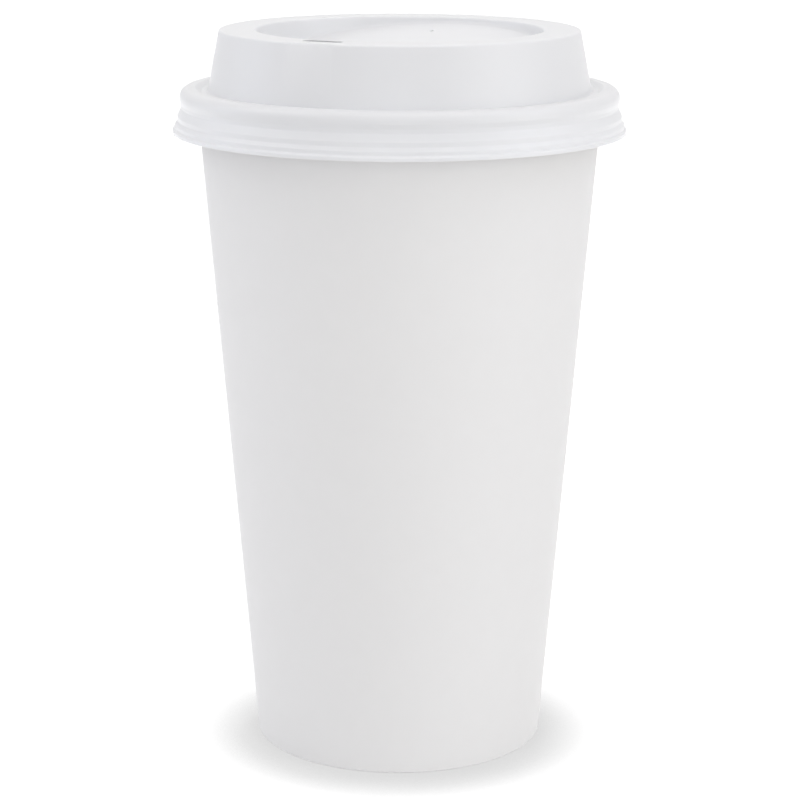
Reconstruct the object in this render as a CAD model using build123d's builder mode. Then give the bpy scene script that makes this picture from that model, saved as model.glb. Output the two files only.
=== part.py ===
from build123d import *
from math import acos, asin, cos, degrees, pi, radians, sin, tan
import os

# Paper hot cup with a push-on travel lid, all sizes in millimetres and all angles in degrees.
# The cup stands on z = 0 with its axis on Z. -Y is the drinking side and +Y holds the side seam.

# Cup: one sheet of coated paperboard, rolled into a cone
cup_height = 139.6
base_diameter = 61.4
rim_diameter = 89.9
paper = 0.4
roll_diameter = 3.2
tuck_gap = 0.12
tuck_turn = 125
fold_round = 0.45
crease_round = 0.08
seam_overlap = 6.5
seam_gap = 0.3
seam_dip = 0.03

# Bottom: a second piece of paperboard, a disc with its edge turned down into the hem
bottom_board = 0.35
bottom_recess = 8.0
bottom_bend = 0.9
hem_gap = 0.75
seal_gap = 0.03
skirt_gap = 0.5

# Lid: one thermoformed sheet of polystyrene, held on the brim by its snap neck
lid_wall = 0.4
crest_gap = 0.15
bead_gap = 0.35
neck_gap = 0.11

# Lid's skirt, in steps down from the crest of its bead to the lip
bead_radius = 1.98
bead_side = 0.47
bead_slope = 0.9
neck_band = 0.8
upper_slope = 1.6
upper_step = 0.72
upper_band = 0.9
lower_slope = 0.8
lower_step = 0.52
lower_band = 0.75
lip_slope = 0.3
lip_step = 0.5
lip_band = 0.75
ridge_round = 0.4

# Lid's top, in steps in from the bead: crest, valley, dome and the flat land round the recess
crest_flat = 1.37
crest_round = 0.7
valley_depth = 0.8
valley_run = 1.15
valley_width = 1.36
valley_round = 0.4
dome_height = 12.6
dome_draft = 10.97
dome_foot_round = 0.5
dome_edge_round = 0.5
top_land = 7.6

# Recess in the lid's top, with a floor that falls towards the sip hole
recess_draft = 8
recess_shallow = 1.2
recess_tilt = 8.5
recess_corner = 1.0
recess_edge_round = 0.1

# Sip hole with the flat for the lip before it, to the left of the front, and the vent at the back
sip_azimuth = 28
sip_length = 8.8
sip_width = 2.6
sip_inset = 5.3
lip_flat_run = 0.7
lip_flat_slope = 50
vent_diameter = 1.0
vent_inset = 7.6
vent_azimuth = 18

# Lines of the paper sheet in section, worked out from the driving sizes.
# The wall runs from the standing corner to where it touches the inner side of the rolled brim.
rim_radius = rim_diameter / 2
roll_radius = roll_diameter / 2
roll_core = roll_radius - paper
tuck_radius = roll_core - paper - tuck_gap
hem_depth = 2 * paper + bottom_board + 2 * seal_gap
hem_height = bottom_recess - bottom_board - hem_gap
wall_foot = Vector(base_diameter / 2, 0)
roll_centre = Vector(rim_radius - roll_radius, cup_height - roll_radius)
foot_to_roll = roll_centre - wall_foot
touch_angle = asin(roll_core / foot_to_roll.length)
wall_direction = foot_to_roll.normalized().rotate(Axis.Z, degrees(touch_angle))
inward = wall_direction.rotate(Axis.Z, 90)


def wall_point(height, inset=0.0):
    """Point of the wall's section at a height, this far inside the wall's outer face."""
    start = wall_foot + inward * inset
    return start + wall_direction * ((height - start.Y) / wall_direction.Y)


def sheet_face(inset, bend_round):
    """Draws one face of the bent sheet, from the top of the hem to the edge tucked into the brim."""
    hem_top = wall_point(hem_height, hem_depth - inset)
    hem_foot = wall_point(inset, hem_depth - inset)
    foot = wall_point(inset, inset)
    wall_end = roll_centre + inward * (roll_core + inset)
    FilletPolyline(hem_top, hem_foot, foot, wall_end, radius=bend_round)
    roll = JernArc(wall_end, wall_direction, roll_core + inset, -270)
    tuck = JernArc(roll @ 1, roll % 1, tuck_radius + inset, -tuck_turn)
    return hem_top, tuck @ 1


def seam_strip(low, high, inner, outer, start, sweep):
    """Part turn of the wall between two heights and two insets, its start and sweep in radians."""
    turned = Plane(origin=(0, 0, 0), x_dir=(cos(start), sin(start), 0), z_dir=(sin(start), -cos(start), 0))
    with BuildPart() as strip:
        with BuildSketch(turned):
            with BuildLine():
                inner_side = [wall_point(high, inner), wall_point(low, inner)]
                outer_side = [wall_point(low, outer), wall_point(high, outer)]
                Polyline(*inner_side, *outer_side, close=True)
            make_face()
        revolve(axis=Axis.Z, revolution_arc=degrees(sweep))
    return strip.part


def wall_tangent(angle, inset):
    """Plane along the wall at this angle, its normal pointing out, that dips just under this inset."""
    touch = wall_point(cup_height / 2, inset + seam_dip)
    out = (cos(angle) * -inward.X, sin(angle) * -inward.X, -inward.Y)
    return Plane(origin=(touch.X * cos(angle), touch.X * sin(angle), touch.Y), z_dir=out)


# Side seam: the sheet leaves the cone along a tangent, climbs over its own edge and ends one paper proud
middle_radius = wall_point(cup_height / 2).X
ramp = acos((middle_radius - seam_dip) / (middle_radius + paper))
overlap = seam_overlap / middle_radius
seam_start = pi / 2 - ramp - overlap / 2
seam_high = cup_height - roll_diameter - seam_gap
with BuildPart() as seam_outside:
    add(seam_strip(fold_round, seam_high, 0, -paper, seam_start, ramp + overlap))
    split(bisect_by=wall_tangent(seam_start, 0), keep=Keep.BOTTOM)

with BuildPart() as seam_inside:
    add(seam_strip(bottom_recess + seam_gap, seam_high - seam_gap, 2 * paper, 0, seam_start, ramp))
    split(bisect_by=wall_tangent(seam_start, paper), keep=Keep.BOTTOM)

# Sidewall: hem, wall, seam and rolled brim are one bent sheet
with BuildPart() as cup_sidewall:
    with BuildSketch(Plane.XZ):
        with BuildLine():
            outer_start, outer_end = sheet_face(0, fold_round)
            inner_start, inner_end = sheet_face(paper, crease_round)
            Line(outer_start, inner_start)
            Line(outer_end, inner_end)
        make_face()
    revolve(axis=Axis.Z)
    add(seam_outside.part)
    add(seam_inside.part, mode=Mode.SUBTRACT)

cup_sidewall.part.label = "cup_sidewall"

# Bottom: a flat disc whose skirt hangs between the two plies of the hem
skirt_inset = paper + seal_gap
with BuildPart() as cup_bottom:
    with BuildSketch(Plane.XZ):
        with BuildLine():
            corner = wall_point(bottom_recess, skirt_inset)
            skirt_end = wall_point(paper + skirt_gap, skirt_inset)
            FilletPolyline((0, bottom_recess), corner, skirt_end, radius=bottom_bend)
            offset(amount=bottom_board, side=Side.RIGHT)
        make_face()
    revolve(axis=Axis.Z)

cup_bottom.part.label = "cup_bottom"

# Levels and radii of the lid's outer face, seated on the brim
crest = cup_height + crest_gap + lid_wall
bead_outer = rim_radius + bead_gap + lid_wall
neck_outer = rim_radius + neck_gap + lid_wall
upper_nose = neck_outer + upper_step
lower_nose = upper_nose + lower_step
lip_outer = lower_nose + lip_step
bead_foot = crest - bead_radius - bead_side
neck_high = bead_foot - bead_slope
neck_low = neck_high - neck_band
upper_high = neck_low - upper_slope
upper_low = upper_high - upper_band
lower_high = upper_low - lower_slope
lower_low = lower_high - lower_band
lip_high = lower_low - lip_slope
skirt_low = lip_high - lip_band
crest_inner = bead_outer - bead_radius - crest_flat
valley_outer = crest_inner - valley_run
valley_floor = crest - valley_depth
dome_foot = valley_outer - valley_width
dome_top = valley_floor + dome_height
dome_edge = dome_foot - dome_height * tan(radians(dome_draft))
recess_radius = dome_edge - top_land

# The fall line of the recess floor runs from the back down to the sip hole
sip_angle = radians(sip_azimuth)
vent_angle = radians(vent_azimuth)
tilt = radians(recess_tilt)
flat_slope = radians(lip_flat_slope)
top_centre = Vector(0, 0, dome_top)
towards_sip = Vector(-sin(sip_angle), -cos(sip_angle), 0)
towards_vent = Vector(sin(vent_angle), cos(vent_angle), 0)
across_sip = towards_sip.rotate(Axis.Z, 90)
shallow_point = top_centre - towards_sip * recess_radius - Vector(0, 0, recess_shallow)
floor_normal = towards_sip * sin(tilt) + Vector(0, 0, cos(tilt))
recess_deep = recess_shallow + 2 * recess_radius * tan(tilt)
sip_point = top_centre + towards_sip * (dome_edge - sip_inset)
flat_point = top_centre + towards_sip * (dome_edge - lip_flat_run)
flat_normal = towards_sip * sin(flat_slope) + Vector(0, 0, cos(flat_slope))
vent_point = top_centre + towards_vent * (recess_radius - vent_inset)


def recess_pocket(inset):
    """Tapered pocket cut off by the tilted floor, grown by the inset for the lid's underside."""
    floor = Plane(origin=shallow_point - floor_normal * inset, z_dir=floor_normal)
    with BuildPart() as pocket:
        with BuildSketch(Plane.XY.offset(dome_top)):
            Circle(recess_radius + inset / cos(radians(recess_draft)))
        extrude(amount=-2 * recess_deep, taper=recess_draft)
        split(bisect_by=floor, keep=Keep.TOP)
        fillet(pocket.faces().sort_by(Axis.Z)[0].edges(), recess_corner + inset)
    return pocket.part


def lid_body(inset):
    """Solid inside the lid's outer face, or inside its underside where the inset is the wall."""
    ridges = [
        (lip_outer, lip_high),
        (lower_nose, lower_low),
        (lower_nose, lower_high),
        (upper_nose, upper_low),
        (upper_nose, upper_high),
        (neck_outer, neck_low),
        (neck_outer, neck_high),
        (bead_outer, bead_foot),
    ]
    top = [
        (bead_outer, crest),
        (crest_inner, crest),
        (valley_outer, valley_floor),
        (dome_foot, valley_floor),
        (dome_edge, dome_top),
    ]
    rounds = [ridge_round] * len(ridges)
    rounds += [bead_radius, crest_round, valley_round, dome_foot_round, dome_edge_round]
    with BuildPart() as body:
        with BuildSketch(Plane.XZ):
            with BuildLine() as outline:
                FilletPolyline((lip_outer, skirt_low), *ridges, *top, (0, dome_top), radius=rounds)
                if inset:
                    offset(amount=inset, side=Side.LEFT, closed=False)
                lip_end = outline.vertices().sort_by(Axis.Y)[0].center()
                axis_end = outline.vertices().sort_by(Axis.X)[0].center()
                Polyline(lip_end, (0, lip_end.Y), axis_end)
            make_face()
        revolve(axis=Axis.Z)
        add(recess_pocket(inset), mode=Mode.SUBTRACT)
        land = body.faces().filter_by(Axis.Z).sort_by(Axis.Z)[-1]
        fillet(land.inner_wires()[0].edges(), recess_edge_round + lid_wall - inset)
        split(bisect_by=Plane(origin=flat_point - flat_normal * inset, z_dir=flat_normal), keep=Keep.BOTTOM)
    return body.part


# Lid: the sheet between its two faces, with the sip hole and the vent
outer_body = lid_body(0)
inner_body = lid_body(lid_wall)
with BuildPart() as lid:
    add(outer_body)
    add(inner_body, mode=Mode.SUBTRACT)
    with BuildSketch(Plane(origin=sip_point, x_dir=across_sip, z_dir=(0, 0, 1))):
        SlotOverall(sip_length, sip_width)
    extrude(amount=-dome_height, mode=Mode.SUBTRACT)
    with Locations(vent_point):
        Hole(vent_diameter / 2)

lid.part.label = "lid"

os.makedirs("parts", exist_ok=True)
for piece in (cup_sidewall, cup_bottom, lid):
    export_step(piece.part, f"parts/{piece.part.label}.step")
    print(piece.part.label, piece.part.volume, piece.part.bounding_box())
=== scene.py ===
from math import acos, asin, atan2, cos, hypot, pi, radians, sin, tan

import bmesh
import bpy
from mathutils import Matrix, Vector


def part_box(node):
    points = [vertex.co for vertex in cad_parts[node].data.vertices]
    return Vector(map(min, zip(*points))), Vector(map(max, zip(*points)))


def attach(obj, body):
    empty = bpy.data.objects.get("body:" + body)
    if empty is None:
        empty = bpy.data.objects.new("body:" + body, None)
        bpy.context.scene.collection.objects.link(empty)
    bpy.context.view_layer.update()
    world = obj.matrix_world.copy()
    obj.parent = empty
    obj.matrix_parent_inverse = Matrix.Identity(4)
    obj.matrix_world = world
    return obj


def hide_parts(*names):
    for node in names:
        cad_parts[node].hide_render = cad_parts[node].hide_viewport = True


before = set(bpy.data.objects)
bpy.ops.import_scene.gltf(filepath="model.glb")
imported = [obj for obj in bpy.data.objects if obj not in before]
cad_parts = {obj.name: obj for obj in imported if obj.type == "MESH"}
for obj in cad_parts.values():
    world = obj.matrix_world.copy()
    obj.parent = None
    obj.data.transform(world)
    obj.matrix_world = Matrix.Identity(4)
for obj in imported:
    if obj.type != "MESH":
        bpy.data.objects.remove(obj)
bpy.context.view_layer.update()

# White paper hot cup with its travel lid, in metres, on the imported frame: +Z up, -Y to the drinker
MM = 0.001

# Sizes read from the frame
wall_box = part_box("cup_sidewall")
disc_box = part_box("cup_bottom")
lid_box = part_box("lid")
cup_height = wall_box[1].z
rim_radius = wall_box[1].x
disc_top = disc_box[1].z
lip_outer = lid_box[1].x
skirt_low = lid_box[0].z
dome_top = lid_box[1].z

# Cup board, its brim, hem and seam
board = 0.4 * MM
bottom_board = 0.35 * MM
base_radius = 30.7 * MM
roll_radius = 1.6 * MM
roll_turn = radians(270)
tuck_gap = 0.12 * MM
tuck_turn = radians(125)
seal_gap = 0.03 * MM
hem_gap = 0.75 * MM
skirt_gap = 0.5 * MM
crease_round = 0.45 * MM
bottom_bend = 0.9 * MM
seam_overlap = 6.5 * MM
seam_edge = 0.05 * MM
seam_gap = 0.3 * MM
knurl_low = 1.3 * MM
knurl_high = 5.6 * MM
knurl_depth = 0.14 * MM
knurl_run = 0.4 * MM

# Lid's skirt, in steps down from the crest of its bead
lid_wall = 0.4 * MM
crest_gap = 0.15 * MM
bead_gap = 0.35 * MM
neck_gap = 0.11 * MM
bead_radius = 1.98 * MM
bead_side = 0.47 * MM
bead_slope = 0.9 * MM
neck_band = 0.8 * MM
upper_slope = 1.6 * MM
upper_step = 0.72 * MM
upper_band = 0.9 * MM
lower_slope = 0.8 * MM
lower_band = 0.75 * MM
lip_step = 0.5 * MM
lip_slope = 0.3 * MM
ridge_round = 0.4 * MM

# Lid's top, in steps in from the bead
crest_flat = 1.37 * MM
crest_round = 0.7 * MM
valley_depth = 0.8 * MM
valley_run = 1.15 * MM
valley_width = 1.36 * MM
valley_round = 0.4 * MM
dome_draft = radians(10.97)
dome_foot_round = 0.5 * MM
dome_edge_round = 0.5 * MM
top_land = 7.6 * MM
recess_draft = radians(8)
recess_shallow = 1.2 * MM
recess_tilt = radians(8.5)
recess_edge_round = 0.5 * MM
recess_corner = 0.74 * MM
floor_margin = 1.5 * MM

# Sip hole, lip flat and vent, and how deep their cutters are
sip_angle = radians(28)
sip_length = 8.8 * MM
sip_width = 2.6 * MM
sip_inset = 5.3 * MM
sip_cutter = 4 * MM
flat_run = 0.7 * MM
flat_slope = radians(50)
vent_diameter = 1.0 * MM
vent_inset = 7.6 * MM
vent_angle = radians(18)
vent_cutter = 16 * MM

# How finely the round pieces are turned
turn_steps = 240
bend_steps = 8
roll_steps = 28
tuck_steps = 12
sip_end_steps = 12
vent_sides = 32

# Points nearer than this are one
weld = 0.002 * MM
# Two normals with a cosine above this look the same way
same_way = 0.999
# Columns are told apart by this many digits of their angle, and a point stands on a column if it
# is off it by less than this part of a turning step
angle_digits = 5
column_play = 0.02
# An edge that turns by more than this stays sharp
crease = radians(32)


# Modelling


def only(piece):
    """Makes this piece the one that is selected and active."""
    bpy.ops.object.select_all(action="DESELECT")
    piece.select_set(True)
    bpy.context.view_layer.objects.active = piece


def pick_points(piece, wanted):
    """Selects, in edit mode, the vertices whose place is wanted."""
    bpy.ops.mesh.select_mode(type="VERT")
    bpy.ops.mesh.select_all(action="DESELECT")
    mesh = bmesh.from_edit_mesh(piece.data)
    for vertex in mesh.verts:
        vertex.select_set(wanted(vertex.co))
    mesh.select_flush(True)
    bmesh.update_edit_mesh(piece.data)


def pick_faces(piece, wanted):
    """Selects, in edit mode, the faces whose middle and normal are wanted."""
    bpy.ops.mesh.select_mode(type="FACE")
    bpy.ops.mesh.select_all(action="DESELECT")
    mesh = bmesh.from_edit_mesh(piece.data)
    mesh.normal_update()
    for face in mesh.faces:
        face.select_set(wanted(face.calc_center_median(), face.normal))
    bmesh.update_edit_mesh(piece.data)


def pick_edges(piece, wanted):
    """Selects, in edit mode, the edges that are wanted."""
    bpy.ops.mesh.select_mode(type="EDGE")
    bpy.ops.mesh.select_all(action="DESELECT")
    mesh = bmesh.from_edit_mesh(piece.data)
    for edge in mesh.edges:
        edge.select_set(wanted(edge))
    bmesh.update_edit_mesh(piece.data)


def draw_section(name, corners):
    """Starts a piece in edit mode: a wire through the (radius, height) corners of its section."""
    bpy.ops.object.select_all(action="DESELECT")
    bpy.ops.mesh.primitive_plane_add(size=MM)
    piece = bpy.context.object
    piece.name = piece.data.name = name
    bpy.ops.object.mode_set(mode="EDIT")
    bpy.ops.mesh.merge(type="CENTER")
    places = [Vector((radius, 0, height)) for radius, height in corners]
    bpy.ops.transform.translate(value=places[0])
    for start, end in zip(places, places[1:]):
        bpy.ops.mesh.extrude_vertices_move(TRANSFORM_OT_translate={"value": end - start})
    return piece


def round_corners(piece, corners, bends):
    """Rounds the inner corners of a drawn section, each with its own bend radius."""
    for before, corner, after, bend in zip(corners, corners[1:], corners[2:], bends):
        run_in = Vector(corner) - Vector(before)
        run_out = Vector(after) - Vector(corner)
        reach = bend * tan(run_in.angle(run_out) / 2)
        place = Vector((corner[0], 0, corner[1]))
        pick_points(piece, lambda point: (point - place).length < weld)
        bpy.ops.mesh.bevel(
            offset_type="OFFSET", offset=reach, segments=bend_steps, affect="VERTICES"
        )


def turn_section(piece):
    """Spins the drawn section once round the cup's axis and welds it shut."""
    bpy.ops.mesh.select_mode(type="VERT")
    bpy.ops.mesh.select_all(action="SELECT")
    bpy.ops.mesh.spin(steps=turn_steps, angle=2 * pi, center=(0, 0, 0), axis=(0, 0, 1))
    bpy.ops.mesh.select_all(action="SELECT")
    bpy.ops.mesh.remove_doubles(threshold=weld)
    bpy.ops.mesh.normals_make_consistent(inside=False)


def faces_look(piece, near, out):
    """Turns all faces over if the nearest one looks against out. Both are (radius, height)."""
    mesh = bmesh.from_edit_mesh(piece.data)
    mesh.normal_update()
    place = Vector((near[0], 0, near[1]))
    face = min(mesh.faces, key=lambda one: (one.calc_center_median() - place).length)
    if face.normal.dot(Vector((out[0], 0, out[1]))) < 0:
        bpy.ops.mesh.select_all(action="SELECT")
        bpy.ops.mesh.flip_normals()


def give_thickness(piece, wall, materials):
    """Thickens the sheet behind its faces, with materials for them, the far face and the edge."""
    for material in materials:
        piece.data.materials.append(material)
    bpy.ops.object.mode_set(mode="OBJECT")
    only(piece)
    sheet = piece.modifiers.new("sheet", "SOLIDIFY")
    sheet.thickness = wall
    sheet.offset = -1
    sheet.use_even_offset = True
    if len(materials) == 3:
        sheet.material_offset = 1
        sheet.material_offset_rim = 2
    bpy.ops.object.modifier_apply(modifier=sheet.name)


def cut_with(piece, cutter):
    """Takes the cutter out of the piece and throws the cutter away."""
    only(piece)
    cut = piece.modifiers.new("cut", "BOOLEAN")
    cut.operation = "DIFFERENCE"
    cut.solver = "EXACT"
    cut.object = cutter
    bpy.ops.object.modifier_apply(modifier=cut.name)
    bpy.data.objects.remove(cutter)


def finish_piece(piece, body, slot, *nodes):
    """Smooths the piece apart from its creases, hands it to its body and hides its CAD nodes. The
    slot is not used.
    """
    only(piece)
    bpy.ops.object.shade_smooth_by_angle(angle=crease)
    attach(piece, body)
    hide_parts(*nodes)


def azimuth(point):
    """Angle of a point round the cup's axis, from +X towards +Y."""
    return atan2(point.y, point.x)


# Materials


def linear(code):
    """Linear colour of an sRGB hex code."""
    shares = [int(code[i:i + 2], 16) / 255 for i in (1, 3, 5)]
    return [s / 12.92 if s <= 0.04045 else ((s + 0.055) / 1.055) ** 2.4 for s in shares] + [1]


def fill(tree, made, inputs):
    """Fills a node's inputs, by name or number: an output is linked, and a value is set."""
    for name, value in inputs.items():
        if isinstance(value, bpy.types.NodeSocket):
            tree.links.new(value, made.inputs[name])
        else:
            made.inputs[name].default_value = value


def node(tree, kind, inputs, **settings):
    """Adds a node with its settings and its inputs."""
    made = tree.nodes.new(kind)
    for name, value in settings.items():
        setattr(made, name, value)
    fill(tree, made, inputs)
    return made


def new_material(name):
    """Material with its node tree and its surface shader."""
    material = bpy.data.materials.new(name)
    material.use_nodes = True
    return material, material.node_tree, material.node_tree.nodes["Principled BSDF"]


# Nearly all of a noise pattern lies between these two values
noise_low = 0.2
noise_high = 0.8


def cup_board_material(name, pale, dark, rough, grain, film=0.0):
    """White paperboard: clouds from how the fibres settled, fibres, and a film where it is coated.

    Real fibres are about 0.03 mm wide. They are drawn ten times as coarse, so that they show.
    """
    cloud_width = 3.5 * MM
    cloud_depth = 0.003 * MM
    cloud_gloss = 0.04
    fibre_width = 0.35 * MM
    material, tree, shader = new_material(name)
    place = node(tree, "ShaderNodeTexCoord", {}).outputs["Object"]
    pattern = {"Vector": place, "Scale": 1 / cloud_width, "Detail": 4.0}
    clouds = node(tree, "ShaderNodeTexNoise", pattern).outputs["Fac"]
    pattern = {"Vector": place, "Scale": 1 / fibre_width, "Detail": 5.0}
    fibres = node(tree, "ShaderNodeTexNoise", pattern).outputs["Fac"]
    span = {"Value": clouds, "From Min": noise_low, "From Max": noise_high}
    share = node(tree, "ShaderNodeMapRange", {**span, "To Min": 0, "To Max": 1}).outputs["Result"]
    colours = {0: share, 6: linear(pale), 7: linear(dark)}
    gloss = {**span, "To Min": rough - cloud_gloss, "To Max": rough + cloud_gloss}
    waves = {"Height": clouds, "Distance": cloud_depth, "Strength": 1.0}
    relief = {"Height": fibres, "Distance": grain, "Strength": 1.0}
    relief["Normal"] = node(tree, "ShaderNodeBump", waves).outputs["Normal"]
    fill(tree, shader, {
        "Base Color": node(tree, "ShaderNodeMix", colours, data_type="RGBA").outputs[2],
        "Roughness": node(tree, "ShaderNodeMapRange", gloss).outputs["Result"],
        "Normal": node(tree, "ShaderNodeBump", relief).outputs["Normal"],
        "IOR": 1.5,
        "Coat Weight": film,
    })
    if film:
        shader.inputs["Coat Roughness"].default_value = 0.28
    return material


# Solid bleached board, calendered and left uncoated outside: matte, with a faint fibre cloud
board_outside = cup_board_material(
    "calendered_cup_board", "#EFEFEF", "#EEEEEE", rough=0.62, grain=0.006 * MM
)
# The same board under an extruded polyethylene film: smooth, with a soft, waxy gloss
board_inside = cup_board_material(
    "polyethylene_coated_board", "#F0F0EE", "#EEEEEC", rough=0.38, grain=0.003 * MM, film=0.35
)
# Die-cut edge of the board: open fibres, a little darker and fully matte
board_edge = cup_board_material(
    "cut_board_edge", "#E9E8E4", "#E2E1DC", rough=0.85, grain=0.006 * MM
)


def lid_material():
    """White high-impact polystyrene, vacuum formed: satin, slightly blue, and it lets light in.

    The grain that the mould leaves is about 0.1 mm fine. It is drawn coarser, so that it shows.
    """
    flow_width = 9 * MM
    skin_width = 0.25 * MM
    skin_depth = 0.002 * MM
    material, tree, shader = new_material("formed_polystyrene")
    place = node(tree, "ShaderNodeTexCoord", {}).outputs["Object"]
    pattern = {"Vector": place, "Scale": 1 / flow_width, "Detail": 2.0}
    flow = node(tree, "ShaderNodeTexNoise", pattern).outputs["Fac"]
    pattern = {"Vector": place, "Scale": 1 / skin_width, "Detail": 3.0}
    skin = node(tree, "ShaderNodeTexNoise", pattern).outputs["Fac"]
    span = {"Value": flow, "From Min": noise_low, "From Max": noise_high}
    share = node(tree, "ShaderNodeMapRange", {**span, "To Min": 0, "To Max": 1}).outputs["Result"]
    colours = {0: share, 6: linear("#EBECEE"), 7: linear("#EAEBED")}
    gloss = {**span, "To Min": 0.34, "To Max": 0.38}
    relief = {"Height": skin, "Distance": skin_depth, "Strength": 1.0}
    fill(tree, shader, {
        "Base Color": node(tree, "ShaderNodeMix", colours, data_type="RGBA").outputs[2],
        "Roughness": node(tree, "ShaderNodeMapRange", gloss).outputs["Result"],
        "Normal": node(tree, "ShaderNodeBump", relief).outputs["Normal"],
        "IOR": 1.59,
        "Subsurface Weight": 1.0,
        "Subsurface Radius": (1.0, 1.0, 1.0),
        "Subsurface Scale": 0.35 * MM,
    })
    return material


polystyrene = lid_material()

# Cup board in section: the wall runs from the standing corner to the inner side of the roll
wall_foot = Vector((base_radius, 0))
roll_centre = Vector((rim_radius - roll_radius, cup_height - roll_radius))
roll_core = roll_radius - board
to_roll = roll_centre - wall_foot
lean = atan2(to_roll.x, to_roll.y) - asin(roll_core / to_roll.length)
along = Vector((sin(lean), cos(lean)))
inward = Vector((-cos(lean), sin(lean)))
hem_depth = 2 * board + bottom_board + 2 * seal_gap
hem_height = disc_top - bottom_board - hem_gap


def wall_point(height, inset=0.0):
    """Point of the wall's section at a height, this far inside its outer face."""
    start = wall_foot + inward * inset
    return start + along * ((height - start.y) / along.y)


def wall_inset(point):
    """How far a point of the cup lies inside the wall's outer face."""
    return (Vector((hypot(point.x, point.y), point.z)) - wall_foot).dot(inward)


def add_rows(piece, heights, wanted):
    """Cuts level rows of edges into the wanted faces."""
    for height in heights:
        pick_faces(piece, wanted)
        bpy.ops.mesh.bisect(plane_co=(0, 0, height), plane_no=(0, 0, 1))


def add_columns(piece, angles):
    """Cuts upright columns of edges through the piece, each on one side of the axis only."""
    for angle in angles:
        side = Vector((cos(angle), sin(angle), 0))
        pick_faces(piece, lambda middle, normal: middle.dot(side) > 0)
        bpy.ops.mesh.bisect(plane_co=(0, 0, 0), plane_no=(-sin(angle), cos(angle), 0))


def lift_column(piece, angle, reach, inset, low, high, rise):
    """Moves out one column of one face of the wall, between two heights."""
    side = Vector((cos(angle), sin(angle), 0))

    def on_column(point):
        """Whether a point stands on the column."""
        if point.dot(side) <= 0 or abs(azimuth(point) - angle) > reach:
            return False
        return abs(wall_inset(point) - inset) < board / 2 and low < point.z < high

    pick_points(piece, on_column)
    bpy.ops.transform.translate(value=side * rise)


def lap_seam(piece):
    """Side seam at the back: the board climbs over its own edge and ends one board proud."""
    middle = wall_point(cup_height / 2).x
    ramp = acos(middle / (middle + board))
    start = pi / 2 - ramp - seam_overlap / middle / 2
    inner_end = start + ramp
    outer_end = inner_end + seam_overlap / middle
    edge = seam_edge / middle
    low = crease_round
    high = cup_height - 2 * roll_radius - seam_gap
    add_columns(piece, (inner_end, inner_end + edge, outer_end, outer_end + edge))
    rows = (low + seam_edge, high - seam_edge, high)
    add_rows(piece, rows, lambda middle, normal: middle.z < high + roll_radius)
    mesh = bmesh.from_edit_mesh(piece.data)
    angles = sorted({round(azimuth(vertex.co), angle_digits) for vertex in mesh.verts})
    faces = [
        (0, low + seam_edge / 2, outer_end),
        (board, disc_top + seam_gap, inner_end),
    ]
    for angle in angles:
        for inset, floor, end in faces:
            if start < angle < end + edge / 2:
                radius = middle - inset
                rise = min(board, radius / cos(angle - start) - radius)
                lift_column(piece, angle, edge / 4, inset, floor, high - seam_edge / 2, rise)


def knurl_hem(piece):
    """Ribs that the sealing tool presses into the inner ply of the hem, two columns each."""

    def inner_ply(middle, normal):
        """Whether a face of the hem looks at the axis."""
        looks_in = normal.xy.dot(middle.xy) < 0
        return looks_in and middle.z < hem_height and hypot(middle.x, middle.y) < base_radius

    def pressed(point):
        """Whether a point of the inner ply lies on every second column, within the ribs."""
        if not knurl_low + knurl_run / 2 < point.z < knurl_high - knurl_run / 2:
            return False
        pair = azimuth(point) * turn_steps / (4 * pi)
        on_even_column = abs(pair - round(pair)) < column_play / 2
        return on_even_column and wall_inset(point) > hem_depth - board / 4

    rows = (knurl_low, knurl_low + knurl_run, knurl_high - knurl_run, knurl_high)
    add_rows(piece, rows, inner_ply)
    pick_points(piece, pressed)
    radius = base_radius - hem_depth + hem_height / 2 * tan(lean)
    scale = (radius + knurl_depth) / radius
    bpy.ops.transform.resize(value=(scale, scale, 1), center_override=(0, 0, 0))


def build_wall():
    """Sidewall: one board, folded under into the hem at the foot and rolled out into the brim."""
    hem_top = wall_point(hem_height, hem_depth)
    hem_foot = wall_point(0, hem_depth)
    wall_end = roll_centre + inward * roll_core
    corners = [hem_top, hem_foot, wall_foot, wall_end]
    piece = draw_section("cup_board_wall", corners)
    round_corners(piece, corners, [crease_round, crease_round])
    roll_start = Vector((wall_end.x, 0, wall_end.y))
    pick_points(piece, lambda point: (point - roll_start).length < weld)
    roll = Vector((roll_centre.x, 0, roll_centre.y))
    bpy.ops.mesh.spin(steps=roll_steps, angle=-roll_turn, center=roll, axis=(0, 1, 0))
    tuck_radius = roll_core - board - tuck_gap
    mesh = bmesh.from_edit_mesh(piece.data)
    roll_end = next(vertex for vertex in mesh.verts if vertex.select)
    tuck = roll + (roll_end.co - roll) * (1 - tuck_radius / roll_core)
    bpy.ops.mesh.spin(steps=tuck_steps, angle=-tuck_turn, center=tuck, axis=(0, 1, 0))
    turn_section(piece)
    faces_look(piece, wall_point(cup_height / 2), (1, 0))
    give_thickness(piece, board, [board_outside, board_inside, board_edge])
    bpy.ops.object.mode_set(mode="EDIT")
    lap_seam(piece)
    knurl_hem(piece)
    bpy.ops.object.mode_set(mode="OBJECT")
    finish_piece(piece, "cup", "cup_board", "cup_sidewall")


def build_bottom():
    """Bottom: a coated disc with its edge turned down between the plies of the hem."""
    inset = board + seal_gap
    corners = [
        Vector((0, disc_top)),
        wall_point(disc_top, inset),
        wall_point(board + skirt_gap, inset),
    ]
    piece = draw_section("cup_board_bottom", corners)
    round_corners(piece, corners, [bottom_bend])
    turn_section(piece)
    faces_look(piece, (base_radius / 2, disc_top), (0, 1))
    give_thickness(piece, bottom_board, [board_inside, board_outside, board_edge])
    finish_piece(piece, "cup", "cup_board", "cup_bottom")


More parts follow.
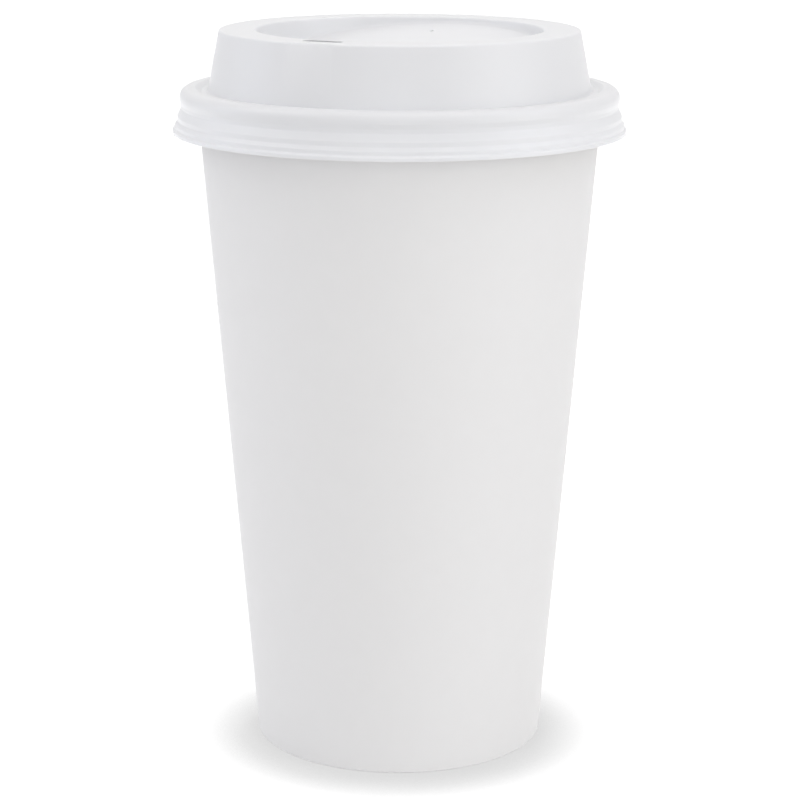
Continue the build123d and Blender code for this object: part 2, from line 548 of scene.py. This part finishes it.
# Lid in section, from the bead inwards and down from its crest
bead_outer = rim_radius + bead_gap + lid_wall
neck_outer = rim_radius + neck_gap + lid_wall
upper_nose = neck_outer + upper_step
lower_nose = lip_outer - lip_step
crest = cup_height + crest_gap + lid_wall
crest_inner = bead_outer - bead_radius - crest_flat
valley_outer = crest_inner - valley_run
valley_floor = crest - valley_depth
dome_foot = valley_outer - valley_width
dome_edge = dome_foot - (dome_top - valley_floor) * tan(dome_draft)
recess_radius = dome_edge - top_land
# The recess's wall is drawn past its floor, which then cuts it off
recess_reach = recess_shallow + 4 * recess_radius * tan(recess_tilt)
top_centre = Vector((0, 0, dome_top))
towards_sip = Vector((-sin(sip_angle), -cos(sip_angle), 0))


def lid_section():
    """Corners of the lid's outer face from the lip to the recess, and the bend at each."""
    ridges = []
    height = crest
    for drop, radius in (
        (bead_radius + bead_side, bead_outer),
        (bead_slope, neck_outer),
        (neck_band, neck_outer),
        (upper_slope, upper_nose),
        (upper_band, upper_nose),
        (lower_slope, lower_nose),
        (lower_band, lower_nose),
        (lip_slope, lip_outer),
    ):
        height -= drop
        ridges.insert(0, (radius, height))
    top = [
        (bead_outer, crest),
        (crest_inner, crest),
        (valley_outer, valley_floor),
        (dome_foot, valley_floor),
        (dome_edge, dome_top),
        (recess_radius, dome_top),
        (recess_radius - recess_reach * tan(recess_draft), dome_top - recess_reach),
    ]
    bends = [ridge_round] * len(ridges)
    bends += [bead_radius, crest_round, valley_round]
    bends += [dome_foot_round, dome_edge_round, recess_edge_round]
    return [(lip_outer, skirt_low)] + ridges + top, bends


def tilt_recess(piece):
    """Closes the recess with a floor that falls towards the sip hole and bends up into its wall."""
    shallow = top_centre - towards_sip * recess_radius - Vector((0, 0, recess_shallow))
    fall = towards_sip * sin(recess_tilt) + Vector((0, 0, cos(recess_tilt)))

    def on_floor(middle, normal):
        """Whether a face lies in the floor's plane and looks up from it."""
        return abs((middle - shallow).dot(fall)) < weld and normal.dot(fall) > same_way

    pick_faces(piece, lambda middle, normal: hypot(middle.x, middle.y) < recess_radius + weld)
    bpy.ops.mesh.bisect(plane_co=shallow, plane_no=fall, use_fill=True, clear_inner=True)
    pick_faces(piece, on_floor)
    bpy.ops.mesh.region_to_loop()
    bpy.ops.mesh.bevel(
        offset_type="OFFSET", offset=recess_corner, segments=bend_steps, affect="EDGES"
    )
    pick_faces(piece, on_floor)
    bpy.ops.mesh.inset(thickness=floor_margin)


def press_lip_flat(piece):
    """Small flat for the lip on the dome's edge, in front of the sip hole."""
    slope = towards_sip * sin(flat_slope) + Vector((0, 0, cos(flat_slope)))
    flat_start = top_centre + towards_sip * (dome_edge - flat_run)
    clear_of_recess = recess_radius + recess_edge_round

    def before_sip_hole(middle, normal):
        """Whether a face lies outside the recess, on the drinker's side."""
        return hypot(middle.x, middle.y) > clear_of_recess and middle.dot(towards_sip) > 0

    pick_faces(piece, before_sip_hole)
    bpy.ops.mesh.bisect(plane_co=flat_start, plane_no=slope, clear_outer=True)
    above_brim = cup_height + MM
    pick_edges(piece, lambda edge: len(edge.link_faces) == 1 and edge.verts[0].co.z > above_brim)
    bpy.ops.mesh.edge_face_add()


def cut_sip_hole(piece):
    """Sip hole: a slot with round ends, across the way to the drinker."""
    across = Vector((-towards_sip.y, towards_sip.x, 0))
    bpy.ops.object.select_all(action="DESELECT")
    bpy.ops.mesh.primitive_cube_add(
        size=1,
        location=top_centre + towards_sip * (dome_edge - sip_inset),
        rotation=(0, 0, azimuth(across)),
        scale=(sip_length, sip_width, sip_cutter),
    )
    slot = bpy.context.object
    bpy.ops.object.transform_apply(location=False, rotation=False, scale=True)
    bpy.ops.object.mode_set(mode="EDIT")
    pick_edges(slot, lambda edge: abs(edge.verts[0].co.z - edge.verts[1].co.z) > MM)
    round_end = sip_width / 2 - 2 * weld
    bpy.ops.mesh.bevel(
        offset_type="OFFSET", offset=round_end, segments=sip_end_steps, affect="EDGES"
    )
    bpy.ops.object.mode_set(mode="OBJECT")
    cut_with(piece, slot)


def cut_vent(piece):
    """Vent: a pinhole through the recess's floor at the back."""
    towards_vent = Vector((sin(vent_angle), cos(vent_angle), 0))
    bpy.ops.object.select_all(action="DESELECT")
    bpy.ops.mesh.primitive_cylinder_add(
        vertices=vent_sides,
        radius=vent_diameter / 2,
        depth=vent_cutter,
        location=top_centre + towards_vent * (recess_radius - vent_inset),
    )
    cut_with(piece, bpy.context.object)


def build_lid():
    """Travel lid: one formed sheet with a stepped skirt, a dome, a recess and two holes."""
    corners, bends = lid_section()
    piece = draw_section("travel_lid", corners)
    round_corners(piece, corners, bends)
    turn_section(piece)
    faces_look(piece, (dome_edge - top_land / 2, dome_top), (0, 1))
    tilt_recess(piece)
    press_lip_flat(piece)
    give_thickness(piece, lid_wall, [polystyrene])
    cut_sip_hole(piece)
    cut_vent(piece)
    finish_piece(piece, "lid", "lid_polystyrene", "lid")


build_wall()
build_bottom()
build_lid()

# Camera: the photograph's view, from a little above the lid, level to a tenth of a degree
camera_away = 524.2 * MM
camera_height = 198.72 * MM
camera_aside = 0.18 * MM
camera_down = radians(13.495)
camera_roll = radians(0.111)
film_width = 36
focal_length = 113.28
nearest_seen = 10 * MM
bpy.ops.object.camera_add(location=(camera_aside, -camera_away, camera_height))
camera = bpy.context.object
turned_down = Matrix.Rotation(pi / 2 - camera_down, 4, "X")
camera.rotation_euler = (turned_down @ Matrix.Rotation(camera_roll, 4, "Z")).to_euler()
camera.data.lens = focal_length
camera.data.sensor_width = film_width
camera.data.clip_start = nearest_seen
bpy.context.scene.camera = camera

# Studio: large soft lamps round a white table
lamp_aim = Vector((0, 0, cup_height / 2))
lamp_distance = 1.0


def softbox(name, side, height, width, tall, power, colour):
    """Rectangular lamp aimed at the cup, from an azimuth right of the front and an elevation."""
    turn, rise = radians(side), radians(height)
    back = Vector((sin(turn) * cos(rise), -cos(turn) * cos(rise), sin(rise)))
    bpy.ops.object.light_add(type="AREA", location=lamp_aim + back * lamp_distance)
    lamp = bpy.context.object
    lamp.name = name
    lamp.rotation_euler = back.to_track_quat("Z", "Y").to_euler()
    lamp.data.shape = "RECTANGLE"
    lamp.data.size = width
    lamp.data.size_y = tall
    lamp.data.energy = power
    lamp.data.color = linear(colour)[:3]


softbox("right_softbox", 60, 12, 0.9, 0.6, 1.95, "#FFFEFA")
softbox("right_high_softbox", 80, 45, 0.6, 0.6, 1.5, "#EFF3FF")
softbox("left_softbox", -100, 12, 0.6, 0.8, 1.35, "#EAF0FF")
softbox("left_high_softbox", -90, 48, 0.6, 0.6, 1.45, "#FBFCFF")
softbox("front_softbox", -12, 12, 0.7, 0.6, 1.25, "#F9FBFF")
softbox("front_high_softbox", -5, 42, 0.7, 0.5, 0.5, "#F9FBFF")
softbox("top_softbox", 20, 82, 0.8, 0.8, 1.8, "#FFFAF5")
softbox("back_softbox", 180, 45, 0.8, 0.6, 0.9, "#FFFFFF")

# White surroundings: a plain level of light on the cup, and full white where they are seen
white = linear("#FFFFFF")
full_white = 1.0
ambient = 0.41
ambient_colour = linear("#FFFCFA")
table_side = 8
table_paint = linear("#F3F3F3")

# The camera sees the table as a darker paint that glows, less so where the cup closes it in: a
# painted shade, dimming the glow by occlusion.
# The painted shade is measured along a normal that leans back, so that it is deeper in front of the
# cup.
table_seen_paint = linear("#616161")
table_glow = 1.1
shade_reach = 19.5 * MM
shade_lean = radians(17)
shade_least = 0.56
shade_samples = 8


def seen_share(tree):
    """1 where the camera, a mirror or a clear material sees this, and 0 where it only lights."""
    paths = node(tree, "ShaderNodeLightPath", {}).outputs
    rays = {0: paths["Is Camera Ray"], 1: paths["Is Glossy Ray"]}
    mirrored = node(tree, "ShaderNodeMath", rays, operation="MAXIMUM").outputs[0]
    rays = {0: mirrored, 1: paths["Is Transmission Ray"]}
    return node(tree, "ShaderNodeMath", rays, operation="MAXIMUM").outputs[0]


def build_world():
    """Even white world that is brighter to the eye than to the cup."""
    world = bpy.data.worlds.new("studio")
    bpy.context.scene.world = world
    world.use_nodes = True
    tree = world.node_tree
    seen = seen_share(tree)
    colours = {0: seen, 6: ambient_colour, 7: white}
    levels = {0: seen, 2: ambient, 3: full_white}
    fill(tree, tree.nodes["Background"], {
        "Color": node(tree, "ShaderNodeMix", colours, data_type="RGBA").outputs[2],
        "Strength": node(tree, "ShaderNodeMix", levels, data_type="FLOAT").outputs[0],
    })


def build_table():
    """Table top that clips to white, apart from the painted shade, a dimmed glow, where the cup
    closes it in.
    """
    bpy.ops.object.select_all(action="DESELECT")
    bpy.ops.mesh.primitive_plane_add(size=table_side)
    table = bpy.context.object
    table.name = "table_top"
    material, tree, shader = new_material("white_table")
    eye = node(tree, "ShaderNodeLightPath", {}).outputs["Is Camera Ray"]
    paints = {0: eye, 6: table_paint, 7: table_seen_paint}
    leaning = node(tree, "ShaderNodeCombineXYZ", {"Y": sin(shade_lean), "Z": cos(shade_lean)})
    reach = {"Distance": shade_reach, "Normal": leaning.outputs["Vector"]}
    # Painted shade: the glow is dimmed by how closed in the table is round the cup
    free = node(tree, "ShaderNodeAmbientOcclusion", reach, samples=shade_samples).outputs["AO"]
    held = node(tree, "ShaderNodeMath", {0: free, 1: shade_least}, operation="MAXIMUM").outputs[0]
    glow = node(tree, "ShaderNodeMath", {0: held, 1: table_glow}, operation="MULTIPLY").outputs[0]
    seen_glow = node(tree, "ShaderNodeMath", {0: glow, 1: seen_share(tree)}, operation="MULTIPLY")
    fill(tree, shader, {
        "Base Color": node(tree, "ShaderNodeMix", paints, data_type="RGBA").outputs[2],
        "Roughness": 1.0,
        "Specular IOR Level": 0.0,
        "Emission Color": white,
        "Emission Strength": seen_glow.outputs[0],
    })
    table.data.materials.append(material)


build_world()
build_table()
bpy.context.scene.view_settings.view_transform = "Standard"
